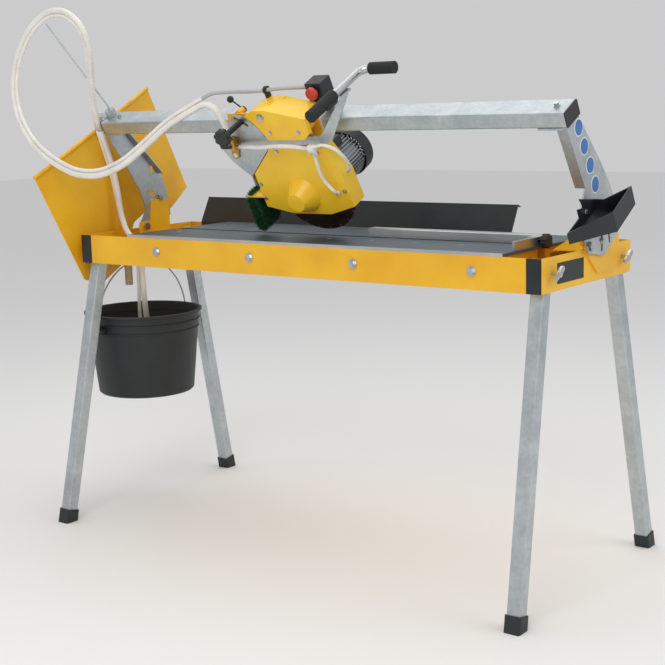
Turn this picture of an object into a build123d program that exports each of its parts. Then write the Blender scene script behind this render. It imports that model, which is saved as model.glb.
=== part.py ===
"""Masonry rail saw on plug-in legs: tray table, tilting bridge, sliding head, hung water bucket."""
import os
from math import cos, hypot, pi, radians, sin, tan

from build123d import *

os.makedirs("parts", exist_ok=True)

# Stand and water tray
table_length = 1708.0
table_width = 530.0
frame_top = 950.0
frame_height = 92.0
tray_wall = 3.0
centre_shift_x = 49.0
centre_shift_y = 15.0
leg_tube = 40.0
leg_wall = 2.0
leg_top_x = 826.0
leg_top_y = 218.0
foot_x = 852.0
foot_y = 401.0
leg_plug_depth = 72.0
socket_gap = 1.0
socket_wall = 2.5
foot_grip = 32.0
foot_wall = 4.0
foot_sole = 10.0

# Working surface
plate_thickness = 8.0
plate_left = -640.0
plate_right = 740.0
edge_strip = 3.0
plate_back = 225.0
slot_width = 22.0
bearer_width = 30.0
bearer_height = 20.0
fence_depth = 40.0
fence_height = 25.0
fence_left = 134.0
fence_right = 718.0
splash_left = -800.0
splash_right = 470.0
splash_height = 94.0
splash_lean = 28.0
sheet = 2.0

# Tilting bridge: the hinge line runs along X, just above the table surface
pivot_y = -26.0
pivot_z = 960.0
tilt = 28.2
tilt_max = 45.0
pivot_bolt = 16.0
running_gap = 0.05
rail_left = -803.0
rail_right = 880.0
rail_depth = 76.0
rail_height = 44.0
rail_wall = 3.0
rail_front = 14.0
rail_bottom = 350.0
support_sheet = 4.0
support_left_x = -804.0
support_right_x = 866.0
lug_sheet = 6.0
clamp_radius_left = 120.0
clamp_radius_right = 75.0
clamp_bolt = 10.0
guard_x = -870.0
guard_sheet = 3.0

# Carriage
sleeve_wall = 4.0
pad = 6.0
slide_gap = 0.3
sleeve_left = -170.0
sleeve_right = 110.0
carrier_front = -31.0
carrier_sheet = 5.0
hood_front = -64.0
hood_back = 30.0
hood_sheet = 2.0
knob_diameter = 52.0

# Swinging head, measured from the bridge's hinge line
arm_front = -44.0
arm_sheet = 4.5
plunge_x = -207.0
plunge_u = 308.0
plunge_bolt = 16.0
arc_radius = 152.0
clamp_radius = 132.0
plunge_down = 8.0
plunge_up = 1.5
blade_x = 2.0
blade_u = 172.0
blade_diameter = 300.0
blade_core = 2.0
rim_width = 2.8
bore = 25.4
flange_diameter = 80.0
cover_front = -50.0
cover_back = 5.0
cover_sheet = 2.0
boss_radius = 58.0
boss_height = 45.0
motor_radius = 70.0
motor_front = 16.0
motor_back = 190.0
fan_cover_radius = 76.0
fan_cover_back = 237.0
handle_x = 265.0
handle_u = 516.0
handle_tube = 23.0
grip_diameter = 34.0

# Bucket and its bail
bucket_x = -842.0
bucket_y = -12.0
bucket_rim_z = 667.0
bucket_height = 285.0
bucket_rim = 204.0
bucket_foot = 166.0
bucket_wall = 3.0
bail_wire = 5.0

frame_bottom = frame_top - frame_height
half_length = table_length / 2
half_width = table_width / 2
surface = frame_top + plate_thickness
rail_back = rail_front + rail_depth
rail_top = rail_bottom + rail_height
rail_middle = rail_front + rail_depth / 2
up = Vector(0, -sin(radians(tilt)), cos(radians(tilt)))
back = Vector(0, cos(radians(tilt)), sin(radians(tilt)))
bridge = Plane(origin=(0, pivot_y, pivot_z), x_dir=(1, 0, 0), z_dir=up)


def level(u):
    """Plane across the bridge at height u: X along the rail, Y to the back, normal up."""
    return bridge.offset(u)


def facing(b):
    """Plane parallel to the blade at depth b: X along the rail, Y up, normal to the operator."""
    return Plane(origin=bridge.from_local_coords((0, b, 0)), x_dir=(1, 0, 0), z_dir=-back)


def across(x):
    """Plane square to the rail at x: X to the back, Y up, normal +X."""
    return Plane(origin=(x, pivot_y, pivot_z), x_dir=back, z_dir=(1, 0, 0))


def operator_side(y):
    """Upright plane at y, X to the right, Y up, normal to the operator."""
    return Plane.XZ.offset(-y)


def end_side(x):
    """Upright plane at x: X to the back, Y up, normal +X."""
    return Plane.YZ.offset(x)


def keep(part, name):
    """Export a piece, moved so that the origin is under the middle of the whole machine."""
    part.part = part.part.moved(Location((centre_shift_x, centre_shift_y, 0)))
    part.part.label = name
    export_step(part.part, f"parts/{name}.step")


def arc_slot(centre, radius, start, turn, width):
    """Curved slot with round ends, cut from the current sketch."""
    half = width / 2
    end = start + turn
    ends = [(centre[0] + radius * cos(radians(a)), centre[1] + radius * sin(radians(a))) for a in (start, end)]
    with BuildLine() as rim:
        CenterArc(centre, radius + half, start, turn)
        CenterArc(centre, radius - half, start, turn)
        CenterArc(ends[0], half, start + 180, 180)
        CenterArc(ends[1], half, end, 180)
    make_face(rim.line.edges(), mode=Mode.SUBTRACT)


def leg_plane(sx, sy):
    foot = Vector(sx * foot_x, sy * foot_y, 0)
    top = Vector(sx * leg_top_x, sy * leg_top_y, frame_bottom)
    return Plane(origin=foot, x_dir=(1, 0, 0), z_dir=top - foot)


leg_run = hypot(frame_bottom, foot_x - leg_top_x, foot_y - leg_top_y)
leg_length = leg_run + leg_plug_depth
corners = [(sx, sy) for sx in (-1, 1) for sy in (-1, 1)]
socket_outer = leg_tube + 2 * socket_gap + 2 * socket_wall
clamp_z = frame_top - 43.0
clamp_y = leg_top_y - (clamp_z - frame_bottom) * (foot_y - leg_top_y) / frame_bottom

# ---- stand -------------------------------------------------------------------------------
drain_x = -792.0
drain_y = -120.0
drain_bore = 22.0
hose_hole_x = -745.0
hose_hole_y = -108.0
hose_hole = 44.0
front_bolts = [-510.0, -124.0, 260.0, 647.0]
front_bolt_z = 908.0
with BuildPart() as water_tray:
    with BuildSketch(Plane.XY.offset(frame_bottom)):
        Rectangle(table_length, table_width)
    extrude(amount=frame_height)
    with BuildSketch(Plane.XY.offset(frame_bottom + tray_wall)):
        Rectangle(table_length - 2 * tray_wall, table_width - 2 * tray_wall)
    extrude(amount=frame_height, mode=Mode.SUBTRACT)
    for sx, sy in corners:
        with BuildSketch(leg_plane(sx, sy).offset(leg_run - 20)):
            Rectangle(socket_outer, socket_outer)
        extrude(amount=40, mode=Mode.SUBTRACT)
    with BuildSketch(Plane.XY.offset(frame_bottom)):
        with Locations((drain_x, drain_y)):
            Circle(drain_bore / 2 + 2)
        with Locations((hose_hole_x, hose_hole_y)):
            Circle(hose_hole / 2)
    extrude(amount=tray_wall, mode=Mode.SUBTRACT)
    with BuildSketch(operator_side(-half_width)):
        with Locations(*[(x, front_bolt_z) for x in front_bolts]):
            Circle(6)
    extrude(amount=-tray_wall, mode=Mode.SUBTRACT)
    for sx in (-1, 1):
        with BuildSketch(end_side(sx * half_length)):
            with Locations((-clamp_y, clamp_z), (clamp_y, clamp_z)):
                Circle(5.2)
        extrude(amount=-sx * tray_wall, mode=Mode.SUBTRACT)
keep(water_tray, "water_tray")

with BuildPart() as leg_sockets:
    for sx, sy in corners:
        with BuildSketch(leg_plane(sx, sy).offset(leg_run - 8)):
            Rectangle(socket_outer, socket_outer)
        extrude(amount=leg_plug_depth + 8 + socket_wall)
        with BuildSketch(leg_plane(sx, sy).offset(leg_run - 8)):
            Rectangle(leg_tube + 2 * socket_gap, leg_tube + 2 * socket_gap)
        extrude(amount=leg_plug_depth + 8, mode=Mode.SUBTRACT)
    split(bisect_by=Plane.XY.offset(frame_bottom), keep=Keep.TOP)
    for sx in (-1, 1):
        with BuildSketch(end_side(sx * (half_length - 1))):
            with Locations((-clamp_y, clamp_z), (clamp_y, clamp_z)):
                Circle(5.2)
        extrude(amount=-sx * 15, mode=Mode.SUBTRACT)

with BuildPart() as legs:
    for sx, sy in corners:
        with BuildSketch(leg_plane(sx, sy).offset(foot_sole)):
            RectangleRounded(leg_tube, leg_tube, 4)
            RectangleRounded(leg_tube - 2 * leg_wall, leg_tube - 2 * leg_wall, 2, mode=Mode.SUBTRACT)
        extrude(amount=leg_length - foot_sole)
keep(legs, "legs")

with BuildPart() as leg_feet:
    for sx, sy in corners:
        with BuildSketch(leg_plane(sx, sy).offset(-foot_sole)):
            RectangleRounded(leg_tube + 2 * foot_wall, leg_tube + 2 * foot_wall, 6)
        extrude(amount=2 * foot_sole + foot_grip)
        with BuildSketch(leg_plane(sx, sy).offset(foot_sole)):
            RectangleRounded(leg_tube, leg_tube, 4)
        extrude(amount=2 * foot_grip, mode=Mode.SUBTRACT)
    split(bisect_by=Plane.XY, keep=Keep.TOP)
keep(leg_feet, "leg_feet")

wing_reach = 26.0
with BuildPart() as wing_screws:
    for sy in (-1, 1):
        with BuildSketch(end_side(half_length + wing_reach)):
            with Locations((sy * clamp_y, clamp_z)):
                Circle(5)
        extrude(amount=-(wing_reach + tray_wall + 2.2))
        with BuildSketch(end_side(half_length + wing_reach - 14)):
            with Locations((sy * clamp_y, clamp_z)):
                Circle(9)
        extrude(amount=14)
        with BuildSketch(end_side(half_length + wing_reach - 10)):
            with Locations(Location((sy * clamp_y, clamp_z), 32)):
                SlotOverall(58, 15)
        extrude(amount=7)
keep(wing_screws, "wing_screws")

with BuildPart() as leg_set_bolts:
    for sy in (-1, 1):
        with BuildSketch(end_side(-half_length)):
            with Locations((sy * clamp_y, clamp_z)):
                RegularPolygon(9.8, 6)
        extrude(amount=-7)
        with BuildSketch(end_side(-half_length)):
            with Locations((sy * clamp_y, clamp_z)):
                Circle(5)
        extrude(amount=tray_wall + 2.2)

strap_length = 44.0
strap_sheet = 2.5
with BuildPart() as corner_straps:
    for sx in (-1, 1):
        x = sx * (half_length - strap_length / 2)
        with BuildSketch(operator_side(-half_width)):
            with Locations((x, frame_bottom + frame_height / 2)):
                Rectangle(strap_length, frame_height)
        extrude(amount=strap_sheet)
    fillet(corner_straps.edges().filter_by(Axis.Z).group_by(Axis.Y)[0], 1.5)
keep(corner_straps, "corner_straps")

with BuildPart() as frame_bolts:
    for x in front_bolts:
        with BuildSketch(operator_side(-half_width)):
            with Locations((x, front_bolt_z)):
                Circle(14.5)
        extrude(amount=2.5)
        with BuildSketch(operator_side(-half_width - 2.5)):
            with Locations((x, front_bolt_z)):
                RegularPolygon(10.5, 6)
        extrude(amount=8)
        with BuildSketch(operator_side(-half_width)):
            with Locations((x, front_bolt_z)):
                Circle(6)
        extrude(amount=-14)

front_plate_back = pivot_y - slot_width / 2
back_plate_front = pivot_y + slot_width / 2
front_plate_front = -half_width + edge_strip
screw_x = [plate_left + 85 + 154 * i for i in range(8)]
screw_rows = {"front": -110.0, "back": 130.0}
plate_spans = {
    "front": (front_plate_front, front_plate_back),
    "back": (back_plate_front, plate_back),
}
for side, (y0, y1) in plate_spans.items():
    with BuildPart() as plate:
        with BuildSketch(Plane.XY.offset(frame_top)):
            with Locations(((plate_left + plate_right) / 2, (y0 + y1) / 2)):
                Rectangle(plate_right - plate_left, y1 - y0)
        extrude(amount=plate_thickness)
        with Locations(*[(x, screw_rows[side], surface) for x in screw_x]):
            CounterSinkHole(4.2, 8.5, depth=plate_thickness)
    keep(plate, f"table_plate_{side}")

with BuildPart() as plate_screws:
    for row_y in screw_rows.values():
        with Locations(*[(x, row_y, frame_top - 6) for x in screw_x]):
            Cylinder(4.0, plate_thickness + 2, align=(Align.CENTER, Align.CENTER, Align.MIN))
        with Locations(*[(x, row_y, surface - 4.4) for x in screw_x]):
            Cone(4.0, 8.2, 4.2, align=(Align.CENTER, Align.CENTER, Align.MIN))

with BuildPart() as table_edge:
    with BuildSketch(Plane.XY.offset(frame_top)):
        with Locations(((plate_left + plate_right) / 2, -half_width + edge_strip / 2)):
            Rectangle(plate_right - plate_left, edge_strip)
    extrude(amount=plate_thickness + 1)
keep(table_edge, "table_edge")

bearer_x = [-600.0, -170.0, 305.0, 710.0]
bearer_span = table_width - 2 * tray_wall - 8
with BuildPart() as plate_bearers:
    for x in bearer_x:
        with BuildSketch(Plane.XY.offset(frame_top - bearer_height)):
            with Locations((x, 0)):
                Rectangle(bearer_width, bearer_span)
                with Locations((0, pivot_y)):
                    Rectangle(bearer_width, slot_width + 20, mode=Mode.SUBTRACT)
        extrude(amount=bearer_height)
        with BuildSketch(Plane.XY.offset(frame_bottom + tray_wall)):
            with Locations((x, 0)):
                Rectangle(bearer_width, bearer_span)
        extrude(amount=frame_height - tray_wall - bearer_height - 20)
        for sy in (-1, 1):
            with BuildSketch(Plane.XY.offset(frame_bottom + tray_wall)):
                with Locations((x, sy * (bearer_span / 2 - 15))):
                    Rectangle(bearer_width, 30)
            extrude(amount=frame_height - tray_wall)
    post_edges = [pivot_y - slot_width / 2 - 25, pivot_y + slot_width / 2 + 25]
    for x in bearer_x:
        with BuildSketch(Plane.XY.offset(frame_bottom + tray_wall)):
            with Locations(*[(x, y) for y in post_edges]):
                Rectangle(bearer_width, 30)
        extrude(amount=frame_height - tray_wall)

with BuildPart() as fence:
    with BuildSketch(Plane.XY.offset(surface)):
        with Locations(((fence_left + fence_right) / 2, back_plate_front + 3 + fence_depth / 2)):
            Rectangle(fence_right - fence_left, fence_depth)
    extrude(amount=fence_height)
    chamfer(fence.edges().filter_by(Axis.X).group_by(Axis.Z)[-1], 2)
fence_front = back_plate_front + 3

with BuildPart() as tray_frame:
    add(leg_sockets.part)
    add(plate_bearers.part)
keep(tray_frame, "tray_frame")

with BuildPart() as frame_fasteners:
    add(leg_set_bolts.part)
    add(frame_bolts.part)
    add(plate_screws.part)
keep(frame_fasteners, "frame_fasteners")

stop_x = 728.0
stop_sheet = 8.0
stop_gap = 0.4
stop_reach = 180.0
stop_top = surface + 25.0
knob_axis_y = fence_front - 32.0
knob_axis_z = surface + 13.0
stop_bore = 8.0
stop_travel = 18.0
with BuildPart() as stop_block:
    with BuildSketch(end_side(stop_x - 28)):
        with Locations((fence_front - 27, surface + 12)):
            Rectangle(54, 24)
        with Locations((knob_axis_y, knob_axis_z)):
            Circle(stop_bore / 2, mode=Mode.SUBTRACT)
    extrude(amount=28 - stop_gap)

with BuildPart() as fence_rail:
    add(fence.part)
    add(stop_block.part)
keep(fence_rail, "fence")

with BuildPart() as end_stop:
    with BuildSketch(end_side(stop_x)):
        with Locations((fence_front - stop_reach / 2, (surface + stop_gap + stop_top) / 2)):
            Rectangle(stop_reach, stop_top - surface - stop_gap)
        with Locations((knob_axis_y, knob_axis_z)):
            SlotOverall(2 * stop_travel + stop_bore + 1, stop_bore + 0.8, mode=Mode.SUBTRACT)
    extrude(amount=stop_sheet)
keep(end_stop, "end_stop")


def star_outline(diameter, lobes=8):
    """Scalloped outline of a hand knob."""
    Circle(diameter / 2)
    notch = diameter * 0.11
    with PolarLocations(diameter / 2 + notch * 0.35, lobes):
        Circle(notch, mode=Mode.SUBTRACT)


stop_knob_x = stop_x + stop_sheet + 6
with BuildPart() as end_stop_knob:
    with BuildSketch(Plane(origin=(stop_knob_x, knob_axis_y, knob_axis_z), x_dir=(0, 1, 0), z_dir=(1, 0, 0))):
        star_outline(40, 6)
    extrude(amount=18)
    fillet(end_stop_knob.edges().group_by(Axis.X)[-1], 2)
    with BuildSketch(end_side(stop_knob_x)):
        with Locations((knob_axis_y, knob_axis_z)):
            Circle(9)
    extrude(amount=-5.5)
    with BuildSketch(end_side(stop_knob_x)):
        with Locations((knob_axis_y, knob_axis_z)):
            Circle(stop_bore / 2)
    extrude(amount=-(stop_sheet + 6 + stop_gap + 22))
keep(end_stop_knob, "end_stop_knob")

lean = radians(splash_lean)
splash_y = half_width - tray_wall
splash_top = frame_top + 2 + splash_height * cos(lean)
splash_reach = splash_y + splash_height * sin(lean)
with BuildPart() as splash_panel:
    with BuildSketch(end_side(splash_left)):
        with BuildLine():
            Polyline(
                (splash_y, frame_top - 30),
                (splash_y, frame_top + 2),
                (splash_reach, splash_top),
                (splash_reach + 14, splash_top - 7),
            )
            offset(amount=sheet, side=Side.LEFT)
        make_face()
    extrude(amount=splash_right - splash_left)
keep(splash_panel, "splash_panel")

# ---- tilt brackets and their bolts --------------------------------------------------------
lug_left_x = support_left_x + support_sheet + 1.0
lug_right_x = half_length
left_lug = [(-52, 861), (-52, 975), (0, 975), (8, 1048), (91, 1048), (91, 861)]
right_lug = [(-52, 962), (-33, 951), (44, 880), (122, 880), (176, 945), (176, 976), (110, 1022), (50, 1022), (-30, 990), (-52, 975)]


def tilted_yz(radius, angle):
    """Point of the tilted bridge, given by radius and angle about the hinge line, as world Y, Z."""
    turn = radians(angle + tilt)
    return (pivot_y + radius * cos(turn), pivot_z + radius * sin(turn))


left_clamp = tilted_yz(clamp_radius_left, 22)
right_clamps = [tilted_yz(clamp_radius_left, -8), tilted_yz(clamp_radius_right, -22)]
with BuildPart() as tilt_bracket_left:
    with BuildSketch(end_side(lug_left_x)):
        Polygon(*left_lug, align=None)
        with Locations((pivot_y, pivot_z)):
            Circle(pivot_bolt / 2, mode=Mode.SUBTRACT)
        with Locations(left_clamp):
            Circle(clamp_bolt / 2, mode=Mode.SUBTRACT)
    extrude(amount=lug_sheet)
    with BuildSketch(Plane.XY.offset(frame_bottom + tray_wall)):
        with Locations((lug_left_x + 22, 19.5)):
            Rectangle(44, 143)
    extrude(amount=5)
keep(tilt_bracket_left, "tilt_bracket_left")

with BuildPart() as tilt_bracket_right:
    with BuildSketch(end_side(lug_right_x)):
        Polygon(*right_lug, align=None)
        with Locations((pivot_y, pivot_z)):
            Circle(pivot_bolt / 2, mode=Mode.SUBTRACT)
        with Locations(*right_clamps):
            Circle(clamp_bolt / 2, mode=Mode.SUBTRACT)
    extrude(amount=lug_sheet)
    with BuildSketch(end_side(lug_right_x + lug_sheet)):
        with Locations((pivot_y, pivot_z)):
            Circle(pivot_bolt / 2 + 6)
            Circle(pivot_bolt / 2, mode=Mode.SUBTRACT)
    extrude(amount=support_right_x - lug_right_x - lug_sheet - 0.4)
    with BuildSketch(operator_side(pivot_y - 40)):
        with BuildLine():
            Polyline((780, frame_top), (860, frame_top), (860, 990), (842, 990), close=True)
        make_face()
    extrude(amount=-5)
    with BuildSketch(Plane.XY.offset(frame_top)):
        with Locations((822, pivot_y + 10)):
            Rectangle(64, 110)
    extrude(amount=4)
keep(tilt_bracket_right, "tilt_bracket_right")

with BuildPart() as pivot_bolts:
    for sx, x0, x1 in ((-1, lug_left_x + lug_sheet, support_left_x - 0.6), (1, lug_right_x, support_right_x + support_sheet + 0.6)):
        with BuildSketch(end_side(x0)):
            with Locations((pivot_y, pivot_z)):
                Circle(pivot_bolt / 2)
        extrude(amount=x1 - x0)
        with BuildSketch(end_side(x1)):
            with Locations((pivot_y, pivot_z)):
                RegularPolygon(13.8, 6)
        extrude(amount=sx * 9)
    with BuildSketch(end_side(lug_left_x + lug_sheet)):
        with Locations((pivot_y, pivot_z)):
            RegularPolygon(13.8, 6)
    extrude(amount=9)

with BuildPart() as tilt_clamp_bolts:
    spots = [(lug_left_x + lug_sheet, support_left_x - 0.6, -1, left_clamp)]
    spots += [(lug_right_x, support_right_x + support_sheet + 0.6, 1, spot) for spot in right_clamps]
    for x0, x1, sx, spot in spots:
        with BuildSketch(end_side(x0)):
            with Locations(spot):
                Circle(clamp_bolt / 2)
        extrude(amount=x1 - x0)
        with BuildSketch(end_side(x1)):
            with Locations(spot):
                RegularPolygon(9.8, 6)
        extrude(amount=sx * 6.5)
    with BuildSketch(end_side(lug_left_x + lug_sheet)):
        with Locations(left_clamp):
            RegularPolygon(9.8, 6)
    extrude(amount=6.5)

with BuildPart() as tilt_bolts:
    add(pivot_bolts.part)
    add(tilt_clamp_bolts.part)
keep(tilt_bolts, "tilt_bolts")

with BuildPart() as rating_plate:
    with BuildSketch(end_side(half_length)):
        with Locations((-105, 903)):
            RectangleRounded(150, 55, 2)
    extrude(amount=1.2)
    with Locations(*[(half_length + 1.2, -105 + a, 903 + b) for a in (-69, 69) for b in (-22, 22)]):
        Cylinder(2.6, 1.6, rotation=(0, 90, 0))
keep(rating_plate, "rating_plate")

with BuildPart() as drain_pipe:
    with BuildSketch(Plane.XY.offset(frame_bottom + tray_wall)):
        with Locations((drain_x, drain_y)):
            Circle(drain_bore / 2 + 2)
            Circle(drain_bore / 2, mode=Mode.SUBTRACT)
    extrude(amount=-92)
keep(drain_pipe, "drain_pipe")

# ---- bucket, bail and the hook it hangs from -------------------------------------------
hook_wire = 6.0
bail_top_z = frame_bottom - 17.0
with BuildPart() as bucket_hook:
    with BuildLine():
        FilletPolyline(
            (bucket_x - 14, bucket_y, frame_bottom),
            (bucket_x - 14, bucket_y, bail_top_z - 5.9),
            (bucket_x + 14, bucket_y, bail_top_z - 5.9),
            (bucket_x + 14, bucket_y, frame_bottom),
            radius=9,
        )
    with BuildSketch(Plane(origin=(bucket_x - 14, bucket_y, frame_bottom), z_dir=(0, 0, -1))):
        Circle(hook_wire / 2)
    sweep()
keep(bucket_hook, "bucket_hook")

slope = (bucket_rim - bucket_foot) / bucket_height
bucket_floor_z = bucket_rim_z - bucket_height
with BuildPart() as bucket:
    with BuildSketch(Plane(origin=(bucket_x, bucket_y, bucket_floor_z), x_dir=(1, 0, 0), z_dir=(0, -1, 0))):
        with BuildLine():
            Polyline(
                (0, 0),
                (bucket_foot - 6, 0),
                (bucket_foot, 6),
                (bucket_rim - 9, bucket_height - 6),
                (bucket_rim, bucket_height - 6),
                (bucket_rim, bucket_height),
                (bucket_rim - 9 - bucket_wall, bucket_height),
                (bucket_foot - bucket_wall, bucket_wall + 4),
                (bucket_foot - 6 - bucket_wall, bucket_wall),
                (0, bucket_wall),
                close=True,
            )
        make_face()
    revolve(axis=Axis((bucket_x, bucket_y, 0), (0, 0, 1)))
    for below in (34.0, 62.0):
        ring = bucket_rim - 9 - below * slope
        with Locations((bucket_x, bucket_y, bucket_rim_z - below)):
            Cylinder(ring + 5, 4)
            Cylinder(ring - 1, 4, mode=Mode.SUBTRACT)
    ear_z = bucket_rim_z - 48
    for sy in (-1, 1):
        with BuildSketch(operator_side(bucket_y + sy * (bucket_rim - 14))):
            with Locations((bucket_x, ear_z)):
                Circle(14)
        extrude(amount=-sy * 18)
        with BuildSketch(operator_side(bucket_y + sy * (bucket_rim - 15))):
            with Locations((bucket_x, ear_z)):
                Circle(bail_wire / 2 + 0.3)
        extrude(amount=-sy * 30, mode=Mode.SUBTRACT)
keep(bucket, "bucket")

bail_span = bucket_rim + 9.0
bail_height = bail_top_z - ear_z
bail_low = bucket_y - bail_span
bail_high = bucket_y + bail_span
with BuildPart() as bucket_bail:
    with BuildLine() as bail_line:
        FilletPolyline(
            (bucket_x, bail_low + 24, ear_z),
            (bucket_x, bail_low, ear_z),
            (bucket_x, bail_low, bail_top_z),
            (bucket_x, bail_high, bail_top_z),
            (bucket_x, bail_high, ear_z),
            (bucket_x, bail_high - 24, ear_z),
            radius=[6, bail_height - 14, bail_height - 14, 6],
        )
    with BuildSketch(Plane(origin=(bucket_x, bail_low + 24, ear_z), z_dir=(0, -1, 0))):
        Circle(bail_wire / 2)
    sweep(path=bail_line.line)
keep(bucket_bail, "bucket_bail")

pump_x = bucket_x + 12.0
pump_base = bucket_floor_z + bucket_wall
with BuildPart() as water_pump:
    with BuildSketch(Plane.XY.offset(pump_base)):
        with Locations((pump_x, bucket_y)):
            RectangleRounded(96, 76, 14)
    extrude(amount=72)
    with BuildSketch(Plane.XY.offset(pump_base + 72)):
        with Locations((pump_x + 18, bucket_y)):
            Circle(10)
    extrude(amount=16)
keep(water_pump, "water_pump")

# ---- tilting bridge -----------------------------------------------------------------------
with BuildPart() as rail:
    with BuildSketch(across(rail_left)):
        with Locations((rail_middle, rail_bottom + rail_height / 2)):
            RectangleRounded(rail_depth, rail_height, 4)
            RectangleRounded(rail_depth - 2 * rail_wall, rail_height - 2 * rail_wall, 1.5, mode=Mode.SUBTRACT)
    extrude(amount=rail_right - rail_left)
keep(rail, "rail")

cap = 4.0
with BuildPart() as rail_caps:
    for x, sx in ((rail_left, -1), (rail_right, 1)):
        with BuildSketch(across(x)):
            with Locations((rail_middle, rail_bottom + rail_height / 2)):
                RectangleRounded(rail_depth, rail_height, 4)
        extrude(amount=sx * cap)
        with BuildSketch(across(x)):
            with Locations((rail_middle, rail_bottom + rail_height / 2)):
                RectangleRounded(rail_depth - 2 * rail_wall - 0.4, rail_height - 2 * rail_wall - 0.4, 1)
        extrude(amount=-sx * 12)
keep(rail_caps, "rail_caps")

stop_spots = [(-745.0, -1), (845.0, 1)]
with BuildPart() as travel_stops:
    for x, sx in stop_spots:
        with BuildSketch(level(rail_top)):
            with Locations((x, rail_middle)):
                Circle(9)
        extrude(amount=3)
        with BuildSketch(level(rail_top + 3)):
            with Locations((x, rail_middle)):
                RegularPolygon(8, 6)
        extrude(amount=7)

left_outline = [
    (20, 345), (20, 309), (32, 252), (47, 110), (37, 42), (-18, 14), (-18, -14), (10, -24),
    (127, -35), (150, 12), (161, 92), (159, 117), (96, 310), (96, 345),
]
slot_start, slot_end = 22 - 18.5, 22 + 30
with BuildPart() as support_left:
    with BuildSketch(across(support_left_x)):
        Polygon(*left_outline, align=None)
        with Locations((133, 145)):
            RectangleRounded(16, 26, 2, mode=Mode.SUBTRACT)
        Circle(pivot_bolt / 2 + running_gap, mode=Mode.SUBTRACT)
        arc_slot((0, 0), clamp_radius_left, slot_start, slot_end - slot_start, clamp_bolt + 0.8)
    extrude(amount=support_sheet)
    with BuildSketch(across(support_left_x)):
        Polygon((96, 345), (96, 310), (159, 117), (155, 116), (92, 309), (92, 345), align=None)
    extrude(amount=22)
    with BuildSketch(across(support_left_x)):
        with Locations((58, rail_bottom - 3)):
            Rectangle(76, 6)
    extrude(amount=64)
keep(support_left, "support_left")

right_outline = [
    (31, 345), (31, 337), (49, 150), (5, 116), (-17, 12), (-17, -12), (64, -73), (170, -62),
    (186, 40), (178, 100), (155, 181), (102, 338), (102, 345),
]
bin_bolt = (19.0, 95.0)
with BuildPart() as support_right:
    with BuildSketch(across(support_right_x)):
        Polygon(*right_outline, align=None)
        Circle(pivot_bolt / 2 + running_gap, mode=Mode.SUBTRACT)
        for radius, middle in ((clamp_radius_left, -8), (clamp_radius_right, -22)):
            arc_slot((0, 0), radius, middle - 18.5, 48.5, clamp_bolt + 0.8)
        with Locations(bin_bolt):
            Circle(4.3, mode=Mode.SUBTRACT)
    extrude(amount=support_sheet)
    with BuildSketch(across(support_right_x)):
        Polygon((31, 345), (31, 337), (49, 150), (53, 150), (35, 337), (35, 345), align=None)
    extrude(amount=-26)
    with BuildSketch(across(support_right_x)):
        with Locations((rail_middle, rail_bottom - 3)):
            Rectangle(76, 6)
    extrude(amount=-70)
keep(support_right, "support_right")

bin_wall = 3.0
bin_x = support_right_x + support_sheet + 0.0
bin_plan = [(bin_x, -96), (955, 11), (952, 143), (901, 74), (bin_x, 74)]
bin_inner = [
    (bin_x + bin_wall, -86), (955 - bin_wall, 13), (952 - bin_wall, 132), (903, 74 - bin_wall),
    (bin_x + bin_wall, 74 - bin_wall),
]
with BuildPart() as side_bin:
    with BuildSketch(level(40)):
        Polygon(*bin_plan, align=None)
    extrude(amount=62)
    with BuildSketch(level(40)):
        Polygon(*bin_inner, align=None)
    extrude(amount=62, mode=Mode.SUBTRACT)
    with BuildSketch(facing(-100)):
        Polygon((bin_x, 70), (bin_x, 74), (955, 47), (955, 43), align=None)
    extrude(amount=-250)
    with BuildSketch(level(30)):
        Rectangle(3000, 3000)
        Polygon(*bin_plan, align=None, mode=Mode.SUBTRACT)
    extrude(amount=80, mode=Mode.SUBTRACT)
    with BuildSketch(facing(-200)):
        Polygon((bin_x - 5, 30), (bin_x - 5, 71.4), (960, 41.4), (960, 30), align=None)
    extrude(amount=-400, mode=Mode.SUBTRACT)
    with BuildSketch(across(bin_x)):
        Polygon((-20, 76), (-20, 128), (13, 112), (2, 147), (118, 72), (118, 56), (60, 60), align=None)
    extrude(amount=bin_wall)
    with BuildSketch(across(bin_x)):
        with Locations(bin_bolt):
            Circle(4.3)
    extrude(amount=bin_wall + 2, mode=Mode.SUBTRACT)
keep(side_bin, "side_bin")

with BuildPart() as bin_bolts:
    with BuildSketch(across(bin_x + bin_wall)):
        with Locations(bin_bolt):
            Circle(8)
    extrude(amount=1.5)
    with BuildSketch(across(bin_x + bin_wall + 1.5)):
        with Locations(bin_bolt):
            RegularPolygon(7, 6)
    extrude(amount=5.5)
    with BuildSketch(across(support_right_x - 6)):
        with Locations(bin_bolt):
            Circle(4.3)
    extrude(amount=6 + support_sheet + bin_wall)

with BuildPart() as bridge_bolts:
    add(travel_stops.part)
    add(bin_bolts.part)
keep(bridge_bolts, "bridge_bolts")

guard_outline = [
    (-268, 352), (-268, -42), (-217, -97), (-105, -93), (20, 0), (110, 0),
    (204, -58), (316, -42), (327, 352),
]
with BuildPart() as end_guard:
    with BuildSketch(level(-100)):
        with BuildLine():
            ThreePointArc((guard_x - 8, -270), (guard_x + 1, 60), (guard_x - 8, 330))
            offset(amount=guard_sheet / 2, side=Side.BOTH)
        make_face()
    extrude(amount=460)
    with BuildSketch(across(guard_x - 30)):
        Polygon(*guard_outline, align=None)
    extrude(amount=60, mode=Mode.INTERSECT)

with BuildPart() as guard_rim:
    with BuildLine() as rim_line:
        ThreePointArc(
            bridge.from_local_coords((guard_x - 8, -268, 354)),
            bridge.from_local_coords((guard_x + 1, 60, 354)),
            bridge.from_local_coords((guard_x - 8, 327, 354)),
        )
    with BuildSketch(Plane(origin=rim_line.line @ 0, z_dir=rim_line.line % 0)):
        Circle(7)
    sweep()

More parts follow.
